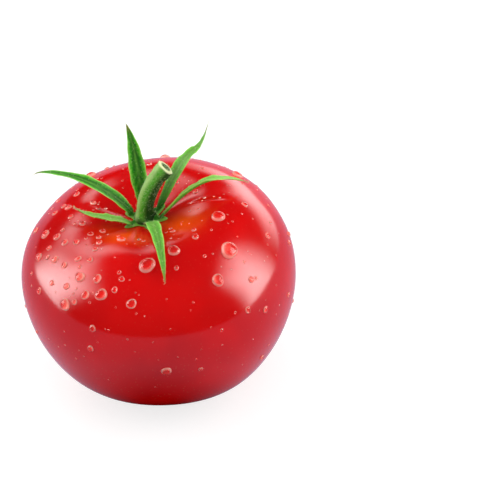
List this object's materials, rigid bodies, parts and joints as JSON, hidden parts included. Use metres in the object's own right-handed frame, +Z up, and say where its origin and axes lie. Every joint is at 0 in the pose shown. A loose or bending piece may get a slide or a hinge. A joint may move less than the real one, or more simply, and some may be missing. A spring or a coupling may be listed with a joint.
{
  "type": "tomato",
  "caption": "Ripe round tomato with a sunken stem end, green stalk and pointed sepals, resting on its blossom end; food, prop or play item.",
  "frame": {"origin": "middle of the flat spot under the blossom end, on the surface that the tomato rests on", "axes": "+Z up through the fruit to its stem end, +X to the higher shoulder, -Y to the front"},
  "size_m": [0.076, 0.0757, 0.0751],
  "materials": {
    "skin": "gloss",
    "stem": "satin",
    "sepal": "satin"
  },
  "bodies": {
    "root": {"fruit": "skin", "stem": "stem", "sepal_front": "sepal", "sepal_right": "sepal", "sepal_back_right": "sepal", "sepal_back": "sepal", "sepal_left_upper": "sepal", "sepal_left_lower": "sepal"}
  },
  "joints": []
}
